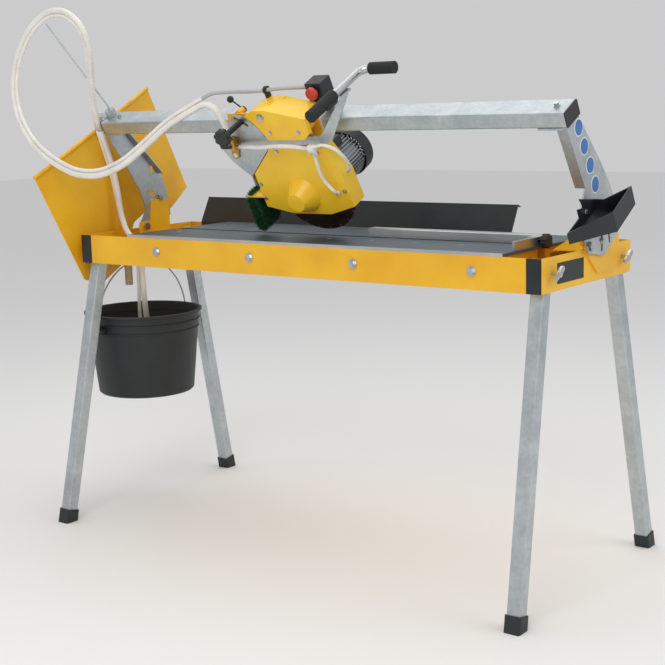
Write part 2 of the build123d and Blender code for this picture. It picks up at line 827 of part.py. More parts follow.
with BuildPart() as splash_guard:
    add(end_guard.part)
    add(guard_rim.part)
keep(splash_guard, "splash_guard")

with BuildPart() as guard_bracket:
    with BuildSketch(level(rail_top)):
        with Locations(((guard_x - 770) / 2 + 4, 60)):
            Rectangle(-770 - guard_x - 8, 30)
    extrude(amount=3)
    with BuildSketch(across(guard_x + 8.2)):
        with Locations((60, 366)):
            Rectangle(30, 62)
    extrude(amount=3)
keep(guard_bracket, "guard_bracket")

mast_x = -790.0
mast_b = 60.0
mast_top = Vector(-893, 52, 735)
mast_wire = 6.0
ring_radius = 20.0
with BuildPart() as hose_mast:
    with BuildSketch(level(rail_top + 3)):
        with Locations((mast_x, mast_b)):
            Circle(17)
            Circle(mast_wire / 2, mode=Mode.SUBTRACT)
    extrude(amount=20)
    rod_foot = bridge.from_local_coords((mast_x, mast_b, rail_top + 3))
    rod_bend = bridge.from_local_coords((mast_x, mast_b, rail_top + 40))
    rod_top = bridge.from_local_coords(mast_top)
    with BuildLine() as rod_line:
        FilletPolyline(rod_foot, rod_bend, rod_top, radius=30)
    with BuildSketch(Plane(origin=rod_foot, z_dir=up)):
        Circle(mast_wire / 2)
    sweep(path=rod_line.line)
keep(hose_mast, "hose_mast")

# ---- carriage on the rail ------------------------------------------------------------------
cavity = pad + slide_gap
sleeve_front = rail_front - cavity - sleeve_wall
sleeve_back = rail_back + cavity + sleeve_wall
sleeve_bottom = rail_bottom - cavity - sleeve_wall
sleeve_top = rail_top + cavity + sleeve_wall
sleeve_mid_u = (sleeve_bottom + sleeve_top) / 2
sleeve_length = sleeve_right - sleeve_left
with BuildPart() as carriage_sleeve:
    with BuildSketch(across(sleeve_left)):
        with Locations((rail_middle, sleeve_mid_u)):
            RectangleRounded(sleeve_back - sleeve_front, sleeve_top - sleeve_bottom, 6)
            Rectangle(rail_depth + 2 * cavity, rail_height + 2 * cavity, mode=Mode.SUBTRACT)
    extrude(amount=sleeve_length)
keep(carriage_sleeve, "carriage_sleeve")

pad_length = 46.0
with BuildPart() as slide_pads:
    for x in (sleeve_left, sleeve_right - pad_length):
        with BuildSketch(across(x)):
            with Locations((rail_middle, sleeve_mid_u)):
                Rectangle(rail_depth + 2 * cavity, rail_height + 2 * cavity)
                Rectangle(rail_depth + 2 * slide_gap, rail_height + 2 * slide_gap, mode=Mode.SUBTRACT)
        extrude(amount=pad_length)
keep(slide_pads, "slide_pads")

carrier_back = carrier_front - carrier_sheet
clamp_angle = 58.0
stud_x = plunge_x + clamp_radius * cos(radians(clamp_angle))
stud_u = plunge_u + clamp_radius * sin(radians(clamp_angle))
carrier_outline = [
    (-236, 312), (-196, 400), (-190, 442), (-100, 442), (-66, 458), (-18, 458), (102, 430),
    (102, 370), (-150, 370), (-181, 300),
]
spacer_spots = [(-150.0, 386.0), (-30.0, 386.0), (88.0, 386.0)]
hood_screws = [(-39.0, 443.0), (80.0, 392.0), (-24.0, 392.0)]
with BuildPart() as carrier_plate:
    with BuildSketch(facing(carrier_front)):
        Polygon(*carrier_outline, align=None)
        with Locations((plunge_x, plunge_u)):
            Circle(29)
            Circle(plunge_bolt / 2, mode=Mode.SUBTRACT)
        with Locations((stud_x, stud_u)):
            Circle(clamp_bolt / 2, mode=Mode.SUBTRACT)
    extrude(amount=carrier_sheet)
    with BuildSketch(facing(carrier_front)):
        with Locations(*spacer_spots):
            Circle(8)
    extrude(amount=-(sleeve_front - carrier_front))

latch_x = -150.0
latch_b = -31.0
with BuildPart() as latch_post:
    with BuildSketch(facing(-6)):
        with Locations((latch_x, 438)):
            Circle(11)
            Circle(4, mode=Mode.SUBTRACT)
    extrude(amount=25)

with BuildPart() as carrier:
    add(carrier_plate.part)
    add(latch_post.part)
keep(carrier, "carrier_plate")

hood_outline = [(-101, 446), (-64, 464), (-16, 464), (116, 434), (117, 387), (93, 368), (-39, 367)]
swing_reach = 176.0
with BuildPart() as hood:
    with BuildSketch(facing(hood_front)):
        Polygon(*hood_outline, align=None)
        with Locations((plunge_x, plunge_u)):
            Circle(swing_reach, mode=Mode.SUBTRACT)
    extrude(amount=-hood_sheet)
    with BuildSketch(facing(hood_front)):
        Polygon(
            (-101, 446), (-64, 464), (-16, 464), (116, 434),
            (115.6, 432), (-16.2, 462), (-63.5, 462), (-100, 444.2),
            align=None,
        )
    extrude(amount=-(hood_back - hood_front))
    with BuildSketch(facing(hood_front)):
        Polygon((117, 434), (117, 387), (93, 368), (91.7, 369.6), (115, 388), (115, 434), align=None)
    extrude(amount=-14)
    with BuildSketch(facing(hood_front)):
        with Locations(*hood_screws):
            Circle(9)
    extrude(amount=-(carrier_back - hood_front))
    with BuildSketch(level(sleeve_top)):
        with Locations((-30, 22)):
            Rectangle(60, 12)
    extrude(amount=462.5 - sleeve_top)
keep(hood, "hood")

with BuildPart() as hood_bolts:
    for i, spot in enumerate(hood_screws):
        size = 12.0 if i == 0 else 7.0
        with BuildSketch(facing(hood_front)):
            with Locations(spot):
                Circle(size)
        extrude(amount=1.5)
        with BuildSketch(facing(hood_front - 1.5)):
            with Locations(spot):
                RegularPolygon(size * 0.76, 6)
        extrude(amount=size * 0.55)

switch_x = 100.0
switch_front = 36.0
switch_back = 92.0
switch_top = 492.0
stop_u = 467.0
start_u = 424.0
button_gap = 0.1
with BuildPart() as switch_box:
    with BuildSketch(level(sleeve_top)):
        with Locations((switch_x, (switch_front + switch_back) / 2)):
            RectangleRounded(58, switch_back - switch_front, 5)
    extrude(amount=switch_top - sleeve_top)
    fillet(switch_box.faces().sort_by(Axis((0, 0, 0), up))[-1].edges(), 3)
    with BuildSketch(facing(switch_front)):
        with Locations((switch_x, stop_u)):
            Circle(8 + button_gap)
    extrude(amount=-16, mode=Mode.SUBTRACT)
    with BuildSketch(across(switch_x + 29)):
        with Locations((64, start_u + 20)):
            Circle(11 + button_gap)
    extrude(amount=-12, mode=Mode.SUBTRACT)
keep(switch_box, "switch_box")

with BuildPart() as stop_button:
    with BuildSketch(facing(switch_front)):
        with Locations((switch_x, stop_u)):
            Circle(8)
    extrude(amount=-6)
    with BuildSketch(facing(switch_front)):
        with Locations((switch_x, stop_u)):
            Circle(8)
    extrude(amount=8)
    with BuildSketch(facing(switch_front - 8)):
        with Locations((switch_x, stop_u)):
            Circle(19)
    extrude(amount=13)
    fillet(stop_button.edges().sort_by(Axis((0, 0, 0), back))[0], 5)
keep(stop_button, "stop_button")

with BuildPart() as start_button:
    with BuildSketch(across(switch_x + 29 + 3)):
        with Locations((64, start_u + 20)):
            Circle(11)
    extrude(amount=-9)
    chamfer(start_button.edges().group_by(Axis.X)[-1], 1)
keep(start_button, "start_button")

with BuildPart() as plunge_pivot:
    with BuildSketch(facing(carrier_front + 6)):
        with Locations((plunge_x, plunge_u)):
            Circle(plunge_bolt / 2)
    extrude(amount=carrier_front + 6 - arm_front + 5)
    with BuildSketch(facing(carrier_front + 8)):
        with Locations((plunge_x, plunge_u)):
            RegularPolygon(13.8, 6)
    extrude(amount=8)

with BuildPart() as carriage_bolts:
    add(hood_bolts.part)
    add(plunge_pivot.part)
keep(carriage_bolts, "carriage_bolts")

valve_x = -183.0
valve_b = -66.0
valve_inlet = 384.0
valve_outlet = -160.0
outlet_u = 347.0
with BuildPart() as water_valve:
    with BuildSketch(facing(arm_front - 1)):
        with Locations((plunge_x, plunge_u)):
            Circle(13)
        Polygon((-220, 312), (-196, 372), (-170, 366), (-195, 300), align=None)
        with Locations((plunge_x, plunge_u)):
            Circle(plunge_bolt / 2, mode=Mode.SUBTRACT)
    extrude(amount=4)
    with BuildSketch(level(338)):
        with Locations((valve_x, valve_b)):
            Circle(10)
    extrude(amount=36)
    with BuildSketch(facing(arm_front - 5)):
        with Locations((valve_x, 355)):
            Rectangle(14, 20)
    extrude(amount=14)
    with BuildSketch(level(374)):
        with Locations((valve_x, valve_b)):
            Circle(7)
    extrude(amount=valve_inlet - 374)
    with BuildSketch(across(valve_x)):
        with Locations((valve_b, outlet_u)):
            Circle(6)
    extrude(amount=valve_outlet - valve_x)
    with BuildSketch(facing(valve_b - 8)):
        with Locations((valve_x, 356)):
            Circle(5)
    extrude(amount=6)
keep(water_valve, "water_valve")

with BuildPart() as valve_lever:
    with BuildSketch(facing(valve_b - 14.4)):
        with Locations((valve_x - 14, 356)):
            SlotOverall(42, 11)
    extrude(amount=4)
keep(valve_lever, "valve_lever")

knob_back = -128.0
with BuildPart() as plunge_knob:
    with BuildSketch(facing(carrier_front)):
        with Locations((stud_x, stud_u)):
            Circle(clamp_bolt / 2)
    extrude(amount=carrier_front - knob_back)
    with BuildSketch(facing(arm_front - 0.6)):
        with Locations((stud_x, stud_u)):
            Circle(9)
    extrude(amount=arm_front - 0.6 - knob_back)
    with BuildSketch(facing(knob_back)):
        with Locations((stud_x, stud_u)):
            star_outline(knob_diameter)
    extrude(amount=22)
    fillet(plunge_knob.edges().group_by(Axis((0, 0, 0), back))[0], 3)
keep(plunge_knob, "plunge_knob")

with BuildPart() as latch_lever:
    with BuildSketch(facing(-4)):
        with Locations((latch_x, 438)):
            Circle(4 - running_gap)
    extrude(amount=25)
    with BuildSketch(facing(-4.6)):
        with Locations((latch_x, 438)):
            Circle(10)
    extrude(amount=-5)
    rod_start = bridge.from_local_coords((latch_x, -2.1, 438))
    rod_end = bridge.from_local_coords((-187, -2.1, 472))
    with BuildSketch(Plane(origin=rod_start, z_dir=rod_end - rod_start)):
        Circle(2.4)
    extrude(amount=(rod_end - rod_start).length)
    with Locations(rod_end):
        Sphere(10.5)
keep(latch_lever, "latch_lever")

clamp_spot = (-59.0, 22.0, 486.0)
cable = 12.0
with BuildPart() as cable_clamp:
    with BuildSketch(level(464)):
        with Locations(clamp_spot[:2]):
            Rectangle(10, 16)
    extrude(amount=14)
    with BuildSketch(across(clamp_spot[0] - 5)):
        with Locations(clamp_spot[1:]):
            Circle(12)
            Circle(cable / 2 + 2, mode=Mode.SUBTRACT)
    extrude(amount=10)
keep(cable_clamp, "cable_clamp")

# ---- swinging head: arm, motor, cover and handle -------------------------------------------
arm_back = arm_front + arm_sheet
arc_top = (plunge_x + arc_radius * cos(radians(57.5)), plunge_u + arc_radius * sin(radians(57.5)))
arc_mid = (plunge_x + arc_radius * cos(radians(38)), plunge_u + arc_radius * sin(radians(38)))
arc_low = (plunge_x + arc_radius * cos(radians(19)), plunge_u + arc_radius * sin(radians(19)))
with BuildPart() as arm_plate:
    with BuildSketch(facing(arm_back)):
        with BuildLine():
            Polyline(arc_low, (-62, 338), (-159, 249), (-180, 232), (-232, 284), (-254, 327), (-163, 441), arc_top)
            ThreePointArc(arc_top, arc_mid, arc_low)
        make_face()
        Polygon(
            (-80, 366), (134, 368), (150, 380), (262, 499), (283, 499), (170, 350), (138, 341), (-70, 340),
            align=None,
        )
        with Locations((plunge_x, plunge_u)):
            Circle(30)
            Circle(plunge_bolt / 2 + running_gap, mode=Mode.SUBTRACT)
        arc_slot((plunge_x, plunge_u), clamp_radius, 49, 19, clamp_bolt + 0.8)
    extrude(amount=arm_sheet)
    with BuildSketch(level(200)):
        with Locations((-178, (arm_front + motor_front - 3) / 2)):
            Rectangle(4, motor_front - 3 - arm_front)
    extrude(amount=88)
    with BuildSketch(level(499)):
        with Locations((handle_x, -44)):
            Rectangle(30, 46)
    extrude(amount=handle_u - handle_tube / 2 - 499)

plate_front = motor_front - 9.0
motor_plate_sheet = 6.0
with BuildPart() as motor_plate:
    with BuildSketch(facing(plate_front + motor_plate_sheet)):
        Polygon((-180, 292), (-180, 196), (-130, 110), (-60, 92), (60, 92), (85, 130), (85, 292), align=None)
        with Locations((blade_x, blade_u)):
            Circle(20, mode=Mode.SUBTRACT)
    extrude(amount=motor_plate_sheet)

with BuildPart() as swing_arm:
    add(arm_plate.part)
    add(motor_plate.part)
keep(swing_arm, "swing_arm")

fin_count = 40
with BuildPart() as motor_housing:
    with BuildSketch(facing(plate_front + motor_plate_sheet)):
        with Locations((blade_x, blade_u)):
            Circle(motor_radius + 3)
            Circle(13, mode=Mode.SUBTRACT)
    extrude(amount=-10)
    with BuildSketch(facing(plate_front + motor_plate_sheet + 10)):
        with Locations((blade_x, blade_u)):
            Circle(motor_radius - 9)
            with PolarLocations(motor_radius - 6, fin_count):
                Rectangle(12, 2.6)
            Circle(13, mode=Mode.SUBTRACT)
    extrude(amount=-(motor_back - plate_front - motor_plate_sheet - 10))
keep(motor_housing, "motor_housing")

with BuildPart() as terminal_box:
    with BuildSketch(facing(66)):
        Polygon((-42, 236), (46, 236), (46, 268), (-42, 268), align=None)
        with Locations((blade_x, blade_u)):
            Circle(motor_radius + 0.2, mode=Mode.SUBTRACT)
    extrude(amount=-78)
    fillet(terminal_box.edges().filter_by(Axis((0, 0, 0), back)).sort_by(Axis((0, 0, 0), up))[-2:], 5)

with BuildPart() as fan_cover:
    with BuildSketch(facing(motor_back)):
        with Locations((blade_x, blade_u)):
            Circle(fan_cover_radius)
    extrude(amount=-(fan_cover_back - motor_back))
    fillet(fan_cover.edges().sort_by(Axis((0, 0, 0), back))[-1], 9)
    with BuildSketch(facing(motor_back)):
        with Locations((blade_x, blade_u)):
            Circle(fan_cover_radius - 2.5)
    extrude(amount=-(fan_cover_back - motor_back - 4), mode=Mode.SUBTRACT)
    with BuildSketch(facing(fan_cover_back)):
        with Locations((blade_x, blade_u)):
            with PolarLocations(40, 18):
                SlotOverall(34, 5)
    extrude(amount=6, mode=Mode.SUBTRACT)

with BuildPart() as motor_caps:
    add(terminal_box.part)
    add(fan_cover.part)
keep(motor_caps, "motor_caps")

cover_outline = [
    (-158, 245), (-60, 334), (128, 327), (170, 242), (176, 137), (80, 108), (-59, 107), (-158, 129),
]
boss_top = 29.0
with BuildPart() as blade_cover:
    with BuildSketch(facing(plate_front)):
        Polygon(*cover_outline, align=None)
    extrude(amount=plate_front - cover_front)
    with BuildSketch(facing(plate_front)):
        with BuildLine():
            Polyline(
                (-156, 100), (-156, 244.1), (-59.2, 332), (126.7, 325.1), (168, 241.6), (174.6, 100),
                close=True,
            )
        make_face()
    extrude(amount=plate_front - cover_front - cover_sheet, mode=Mode.SUBTRACT)
    with BuildSketch(facing(cover_front)):
        with Locations((blade_x, blade_u)):
            Circle(boss_radius)
    with BuildSketch(facing(cover_front - boss_height)):
        with Locations((blade_x, blade_u)):
            Circle(boss_top)
    loft()
    with BuildSketch(facing(cover_front + cover_sheet)):
        with Locations((blade_x, blade_u)):
            Circle(boss_radius - 3)
    with BuildSketch(facing(cover_front - boss_height + 2)):
        with Locations((blade_x, blade_u)):
            Circle(boss_top - 3)
    loft(mode=Mode.SUBTRACT)
    for ear_x, ear_u in ((-147, 228), (118, 311)):
        with BuildSketch(facing(plate_front)):
            with Locations((ear_x, ear_u)):
                Circle(8)
        extrude(amount=plate_front - cover_front - cover_sheet)

cover_bolt_spots = [(-148.0, 210.0), (-148.0, 160.0), (-40.0, 322.0), (110.0, 317.0), (160.0, 190.0)]
with BuildPart() as cover_bolts:
    for spot in cover_bolt_spots:
        with BuildSketch(facing(cover_front)):
            with Locations(spot):
                Circle(6.5)
        extrude(amount=1.2)
        with BuildSketch(facing(cover_front - 1.2)):
            with Locations(spot):
                RegularPolygon(5.6, 6)
        extrude(amount=4)
keep(cover_bolts, "cover_bolts")

nut_depth = 14.0
with BuildPart() as blade:
    with BuildSketch(facing(blade_core / 2)):
        with Locations((blade_x, blade_u)):
            Circle(blade_diameter / 2 - 9)
            Circle(bore / 2, mode=Mode.SUBTRACT)
    extrude(amount=blade_core)
    with BuildSketch(facing(rim_width / 2)):
        with Locations((blade_x, blade_u)):
            Circle(blade_diameter / 2)
            Circle(blade_diameter / 2 - 9, mode=Mode.SUBTRACT)
            with PolarLocations(blade_diameter / 2 - 5, 21):
                Rectangle(10.4, 3, mode=Mode.SUBTRACT)
    extrude(amount=rim_width)
keep(blade, "blade")

with BuildPart() as blade_flanges:
    for b, toward in ((-blade_core / 2, 1), (blade_core / 2, -1)):
        with BuildSketch(facing(b)):
            with Locations((blade_x, blade_u)):
                Circle(flange_diameter / 2)
                Circle(bore / 2, mode=Mode.SUBTRACT)
        extrude(amount=toward * 5)

with BuildPart() as spindle:
    with BuildSketch(facing(motor_back + 4)):
        with Locations((blade_x, blade_u)):
            Circle(12.0)
    extrude(amount=motor_back + 4 - 6)
    with BuildSketch(facing(6)):
        with Locations((blade_x, blade_u)):
            Circle(bore / 2)
    extrude(amount=12)
    with BuildSketch(facing(-6)):
        with Locations((blade_x, blade_u)):
            RegularPolygon(19, 6)
    extrude(amount=nut_depth)
    with BuildSketch(facing(-6 - nut_depth)):
        with Locations((blade_x, blade_u)):
            Circle(9)
    extrude(amount=5)

with BuildPart() as blade_spindle:
    add(blade_flanges.part)
    add(spindle.part)
keep(blade_spindle, "blade_spindle")

bend = 32.0
bar_front = -196.0
bar_b = 68.0
bar_right = 372.0
with BuildPart() as handle_bar:
    corner_points = [
        bridge.from_local_coords((handle_x, bar_front, handle_u)),
        bridge.from_local_coords((handle_x, bar_b, handle_u)),
        bridge.from_local_coords((bar_right, bar_b, handle_u)),
    ]
    with BuildLine() as bar_line:
        FilletPolyline(*corner_points, radius=bend)
    with BuildSketch(Plane(origin=corner_points[0], z_dir=back)):
        Circle(handle_tube / 2)
        Circle(handle_tube / 2 - 2, mode=Mode.SUBTRACT)
    sweep(path=bar_line.line)
keep(handle_bar, "handle_bar")

grip_wall = (grip_diameter - handle_tube) / 2
with BuildPart() as hand_grips:
    for plane, length in ((facing(bar_front + 112), 112), (across(bar_right - 76), 76)):
        centre = (handle_x, handle_u) if length == 112 else (bar_b, handle_u)
        with BuildSketch(plane):
            with Locations(centre):
                Circle(grip_diameter / 2)
                Circle(handle_tube / 2, mode=Mode.SUBTRACT)
        extrude(amount=length)
        with BuildSketch(plane.offset(length)):
            with Locations(centre):
                Circle(grip_diameter / 2)
        extrude(amount=5)
keep(hand_grips, "hand_grips")

mat_x = -214.0
mat_top = 160.0
mat_bottom = 48.0
with BuildPart() as mat_holder:
    with BuildSketch(level(mat_top)):
        with Locations(((mat_x - 158) / 2 - 6, -22)):
            Rectangle(-158 - mat_x + 12, 56)
    extrude(amount=4)
    with BuildSketch(across(-158)):
        with Locations((-22, mat_top + 16)):
            Rectangle(56, 32)
    extrude(amount=-3)

with BuildPart() as cover_with_holder:
    add(blade_cover.part)
    add(mat_holder.part)
keep(cover_with_holder, "blade_cover")

with BuildPart() as splash_mat:
    with BuildSketch(level(mat_bottom)):
        with Locations((mat_x, -8)):
            Rectangle(20, 78)
    extrude(amount=mat_top - mat_bottom)
keep(splash_mat, "splash_mat")

# ---- hoses and cables ------------------------------------------------------------------------
hose = 19.0
spray_hose = 13.0


def local(x, b, u):
    return bridge.from_local_coords((x, b, u))


def route_radii(points):
    radii = []
    for before, here, after in zip(points, points[1:], points[2:]):
        first = here - before
        second = after - here
        half_turn = radians(first.get_angle(second)) / 2
        radii.append(0.45 * min(first.length, second.length) / tan(half_turn))
    return radii


def tube(points, diameter, name):
    """Straight runs joined by tangent arcs, as a round tube."""
    radii = route_radii(points)
    runs = [(b - a).length for a, b in zip(points, points[1:])]
    with BuildPart() as pipe:
        with BuildLine() as line:
            path = FilletPolyline(*points, radius=radii)
        with BuildSketch(Plane(origin=points[0], z_dir=points[1] - points[0])):
            Circle(diameter / 2)
        sweep(path=line.line)
    filled = pipe.part.volume / (path.length * pi * diameter**2 / 4)
    print(name, "radius", round(min(radii)), "run", round(max(runs)), "volume ratio", round(filled, 4))
    return pipe.part


def beside(points, gap):
    """The same route moved sideways in the X-Z plane, to the right of its travel."""
    moved = []
    for i, here in enumerate(points):
        way = points[min(i + 1, len(points) - 1)] - points[max(i - 1, 0)]
        side_way = Vector(way.Z, 0, -way.X).normalized()
        moved.append(here + side_way * gap)
    return moved


side_gap = (hose + cable) / 2 + 0.6
tie_point = local(-236, -60, 492)
loop_route = [
    Vector(-286, -328, 1340), Vector(-356, -347, 1303), Vector(-435, -365, 1242), Vector(-513, -381, 1187),
    Vector(-611, -392, 1152), Vector(-715, -396, 1154), Vector(-825, -392, 1191), Vector(-927, -383, 1245),
    Vector(-1008, -370, 1329), Vector(-1044, -357, 1430), Vector(-1026, -347, 1532), Vector(-965, -340, 1621),
    Vector(-873, -336, 1671), Vector(-793, -332, 1667), Vector(-745, -316, 1625), Vector(-735, -292, 1553),
    Vector(-767, -262, 1476), Vector(-804, -228, 1400), Vector(-828, -196, 1340), Vector(-834, -172, 1288),
]
inlet_route = [local(valve_x, valve_b, valve_inlet), local(valve_x, valve_b, 430), local(-197, -63, 478)]
loop_tubes = [
    tube(inlet_route + [tie_point] + loop_route, hose, "loop hose"),
    tube(beside([tie_point] + loop_route, side_gap), cable, "loop cable"),
]
with BuildPart() as feed_loop:
    add(loop_tubes)
keep(feed_loop, "feed_loop")

loop_cable_route = beside([tie_point] + loop_route, side_gap)


def onward(points, share):
    """The next point of a route that runs straight on from its end."""
    return points[-1] + (points[-1] - points[-2]) * share


drop_hose = [
    loop_route[-1], onward(loop_route, 1.0), Vector(-838, -122, 1160), Vector(-837, -108, 1085),
    Vector(-834, -103, 1010), Vector(-808, -104, 945), Vector(-762, -107, 918), Vector(-739, -108, 893),
    Vector(-739, -108, 858),
]
drop_cable = [
    loop_cable_route[-1], onward(loop_cable_route, 1.0), Vector(-852, -122, 1155), Vector(-850, -106, 1080),
    Vector(-845, -97, 1005), Vector(-824, -94, 945), Vector(-780, -98, 915), Vector(-757, -106, 890),
    Vector(-757, -108, 858),
]
drop_tubes = [tube(drop_hose, hose, "drop hose"), tube(drop_cable, cable, "drop cable")]
with BuildPart() as feed_drop:
    add(drop_tubes)
keep(feed_drop, "feed_drop")

pump_top = pump_base + 88
pump_hose = [
    Vector(-739, -108, 858), Vector(-739, -108, 800), Vector(-752, -92, 735), Vector(-775, -66, 672),
    Vector(-798, -36, 612), Vector(pump_x + 18, bucket_y, 545), Vector(pump_x + 18, bucket_y, pump_top),
]
pump_cable = [
    Vector(-757, -108, 858), Vector(-757, -108, 800), Vector(-776, -92, 735), Vector(-804, -66, 672),
    Vector(-832, -38, 605), Vector(pump_x - 14, bucket_y, 535), Vector(pump_x - 14, bucket_y, pump_base + 72),
]
pump_tubes = [tube(pump_hose, hose, "pump hose"), tube(pump_cable, cable, "pump cable")]
with BuildPart() as pump_lines:
    add(pump_tubes)
keep(pump_lines, "pump_lines")

switch_route = [
    loop_cable_route[0], onward(loop_cable_route[1::-1], 0.6), local(-150, -30, 512),
    local(-100, 8, 490), local(-59, 22, 486.0), local(-18, 36, 483), local(30, 62, 470),
    local(switch_x - 29, 62, 470),
]
switch_tube = tube(switch_route, cable, "switch cable")
with BuildPart() as switch_cable:
    add(switch_tube)
keep(switch_cable, "switch_cable")

spray_b = -76.0
tee = (118.0, 345.0)
main_spray = [
    local(valve_outlet, valve_b, outlet_u), local(-128, valve_b, outlet_u), local(-76, spray_b, 350),
    local(-14, spray_b, 355), local(48, spray_b, 354), local(tee[0] - 12, spray_b, tee[1] + 1),
]
front_spray = [
    local(tee[0] + 2, spray_b, tee[1] - 12), local(118, spray_b, 298), local(114, -74, 262),
    local(116, -66, 226), local(134, -66, 200), local(134, cover_front - 6.5, 186),
]
side_spray = [
    local(tee[0] + 12, spray_b, tee[1] + 6), local(158, -74, 358), local(190, -68, 344),
    local(206, -58, 312), local(205, -44, 276), local(182, -34, 246),
]
spray_tubes = [
    tube(main_spray, spray_hose, "spray feed"),
    tube(front_spray, spray_hose - 3, "front spray"),
    tube(side_spray, spray_hose - 3, "side spray"),
]
with BuildPart() as spray_hoses:
    add(spray_tubes)
    with BuildSketch(facing(spray_b + 8)):
        with Locations(tee):
            RectangleRounded(25, 25, 4)
    extrude(amount=16)
    with BuildSketch(facing(cover_front)):
        with Locations((134, 186)):
            Circle(8)
    extrude(amount=7)
keep(spray_hoses, "spray_hoses")
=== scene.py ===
import math

import bmesh
import bpy
from mathutils import Matrix, Vector


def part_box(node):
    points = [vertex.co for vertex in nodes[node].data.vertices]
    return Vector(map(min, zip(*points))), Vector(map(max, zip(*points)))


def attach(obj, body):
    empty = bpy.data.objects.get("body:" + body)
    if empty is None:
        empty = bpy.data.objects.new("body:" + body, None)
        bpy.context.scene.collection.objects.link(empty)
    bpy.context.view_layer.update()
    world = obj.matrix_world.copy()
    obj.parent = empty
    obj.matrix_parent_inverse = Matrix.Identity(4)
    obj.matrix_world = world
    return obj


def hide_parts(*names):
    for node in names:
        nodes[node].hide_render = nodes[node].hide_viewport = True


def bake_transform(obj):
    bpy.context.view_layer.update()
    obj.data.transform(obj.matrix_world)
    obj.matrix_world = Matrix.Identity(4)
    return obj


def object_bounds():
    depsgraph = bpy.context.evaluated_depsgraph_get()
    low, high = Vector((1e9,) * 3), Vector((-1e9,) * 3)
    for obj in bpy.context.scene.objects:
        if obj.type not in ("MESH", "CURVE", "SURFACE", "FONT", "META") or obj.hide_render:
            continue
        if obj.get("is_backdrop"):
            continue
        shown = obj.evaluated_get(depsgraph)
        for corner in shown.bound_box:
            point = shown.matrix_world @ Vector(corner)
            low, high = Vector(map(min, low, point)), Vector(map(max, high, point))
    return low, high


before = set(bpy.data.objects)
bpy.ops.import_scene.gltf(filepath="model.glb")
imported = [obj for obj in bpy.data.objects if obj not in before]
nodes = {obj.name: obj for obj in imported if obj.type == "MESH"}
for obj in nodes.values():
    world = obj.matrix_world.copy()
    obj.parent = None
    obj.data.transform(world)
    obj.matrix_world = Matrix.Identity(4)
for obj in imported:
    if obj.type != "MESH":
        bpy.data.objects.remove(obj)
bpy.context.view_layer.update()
print("frame loaded,", len(nodes), "CAD pieces")


def fromHex(code):
    parts = [int(code[i:i + 2], 16) / 255 for i in (1, 3, 5)]
    return [c / 12.92 if c <= 0.04045 else ((c + 0.055) / 1.055) ** 2.4 for c in parts] + [1.0]


def addNode(tree, kind, attributes=None, sockets=None, links=None):
    node = tree.nodes.new(kind)
    for key, value in (attributes or {}).items():
        setattr(node, key, value)
    for key, value in (sockets or {}).items():
        node.inputs[key].default_value = value
    for key, source in (links or {}).items():
        tree.links.new(source, node.inputs[key])
    return node


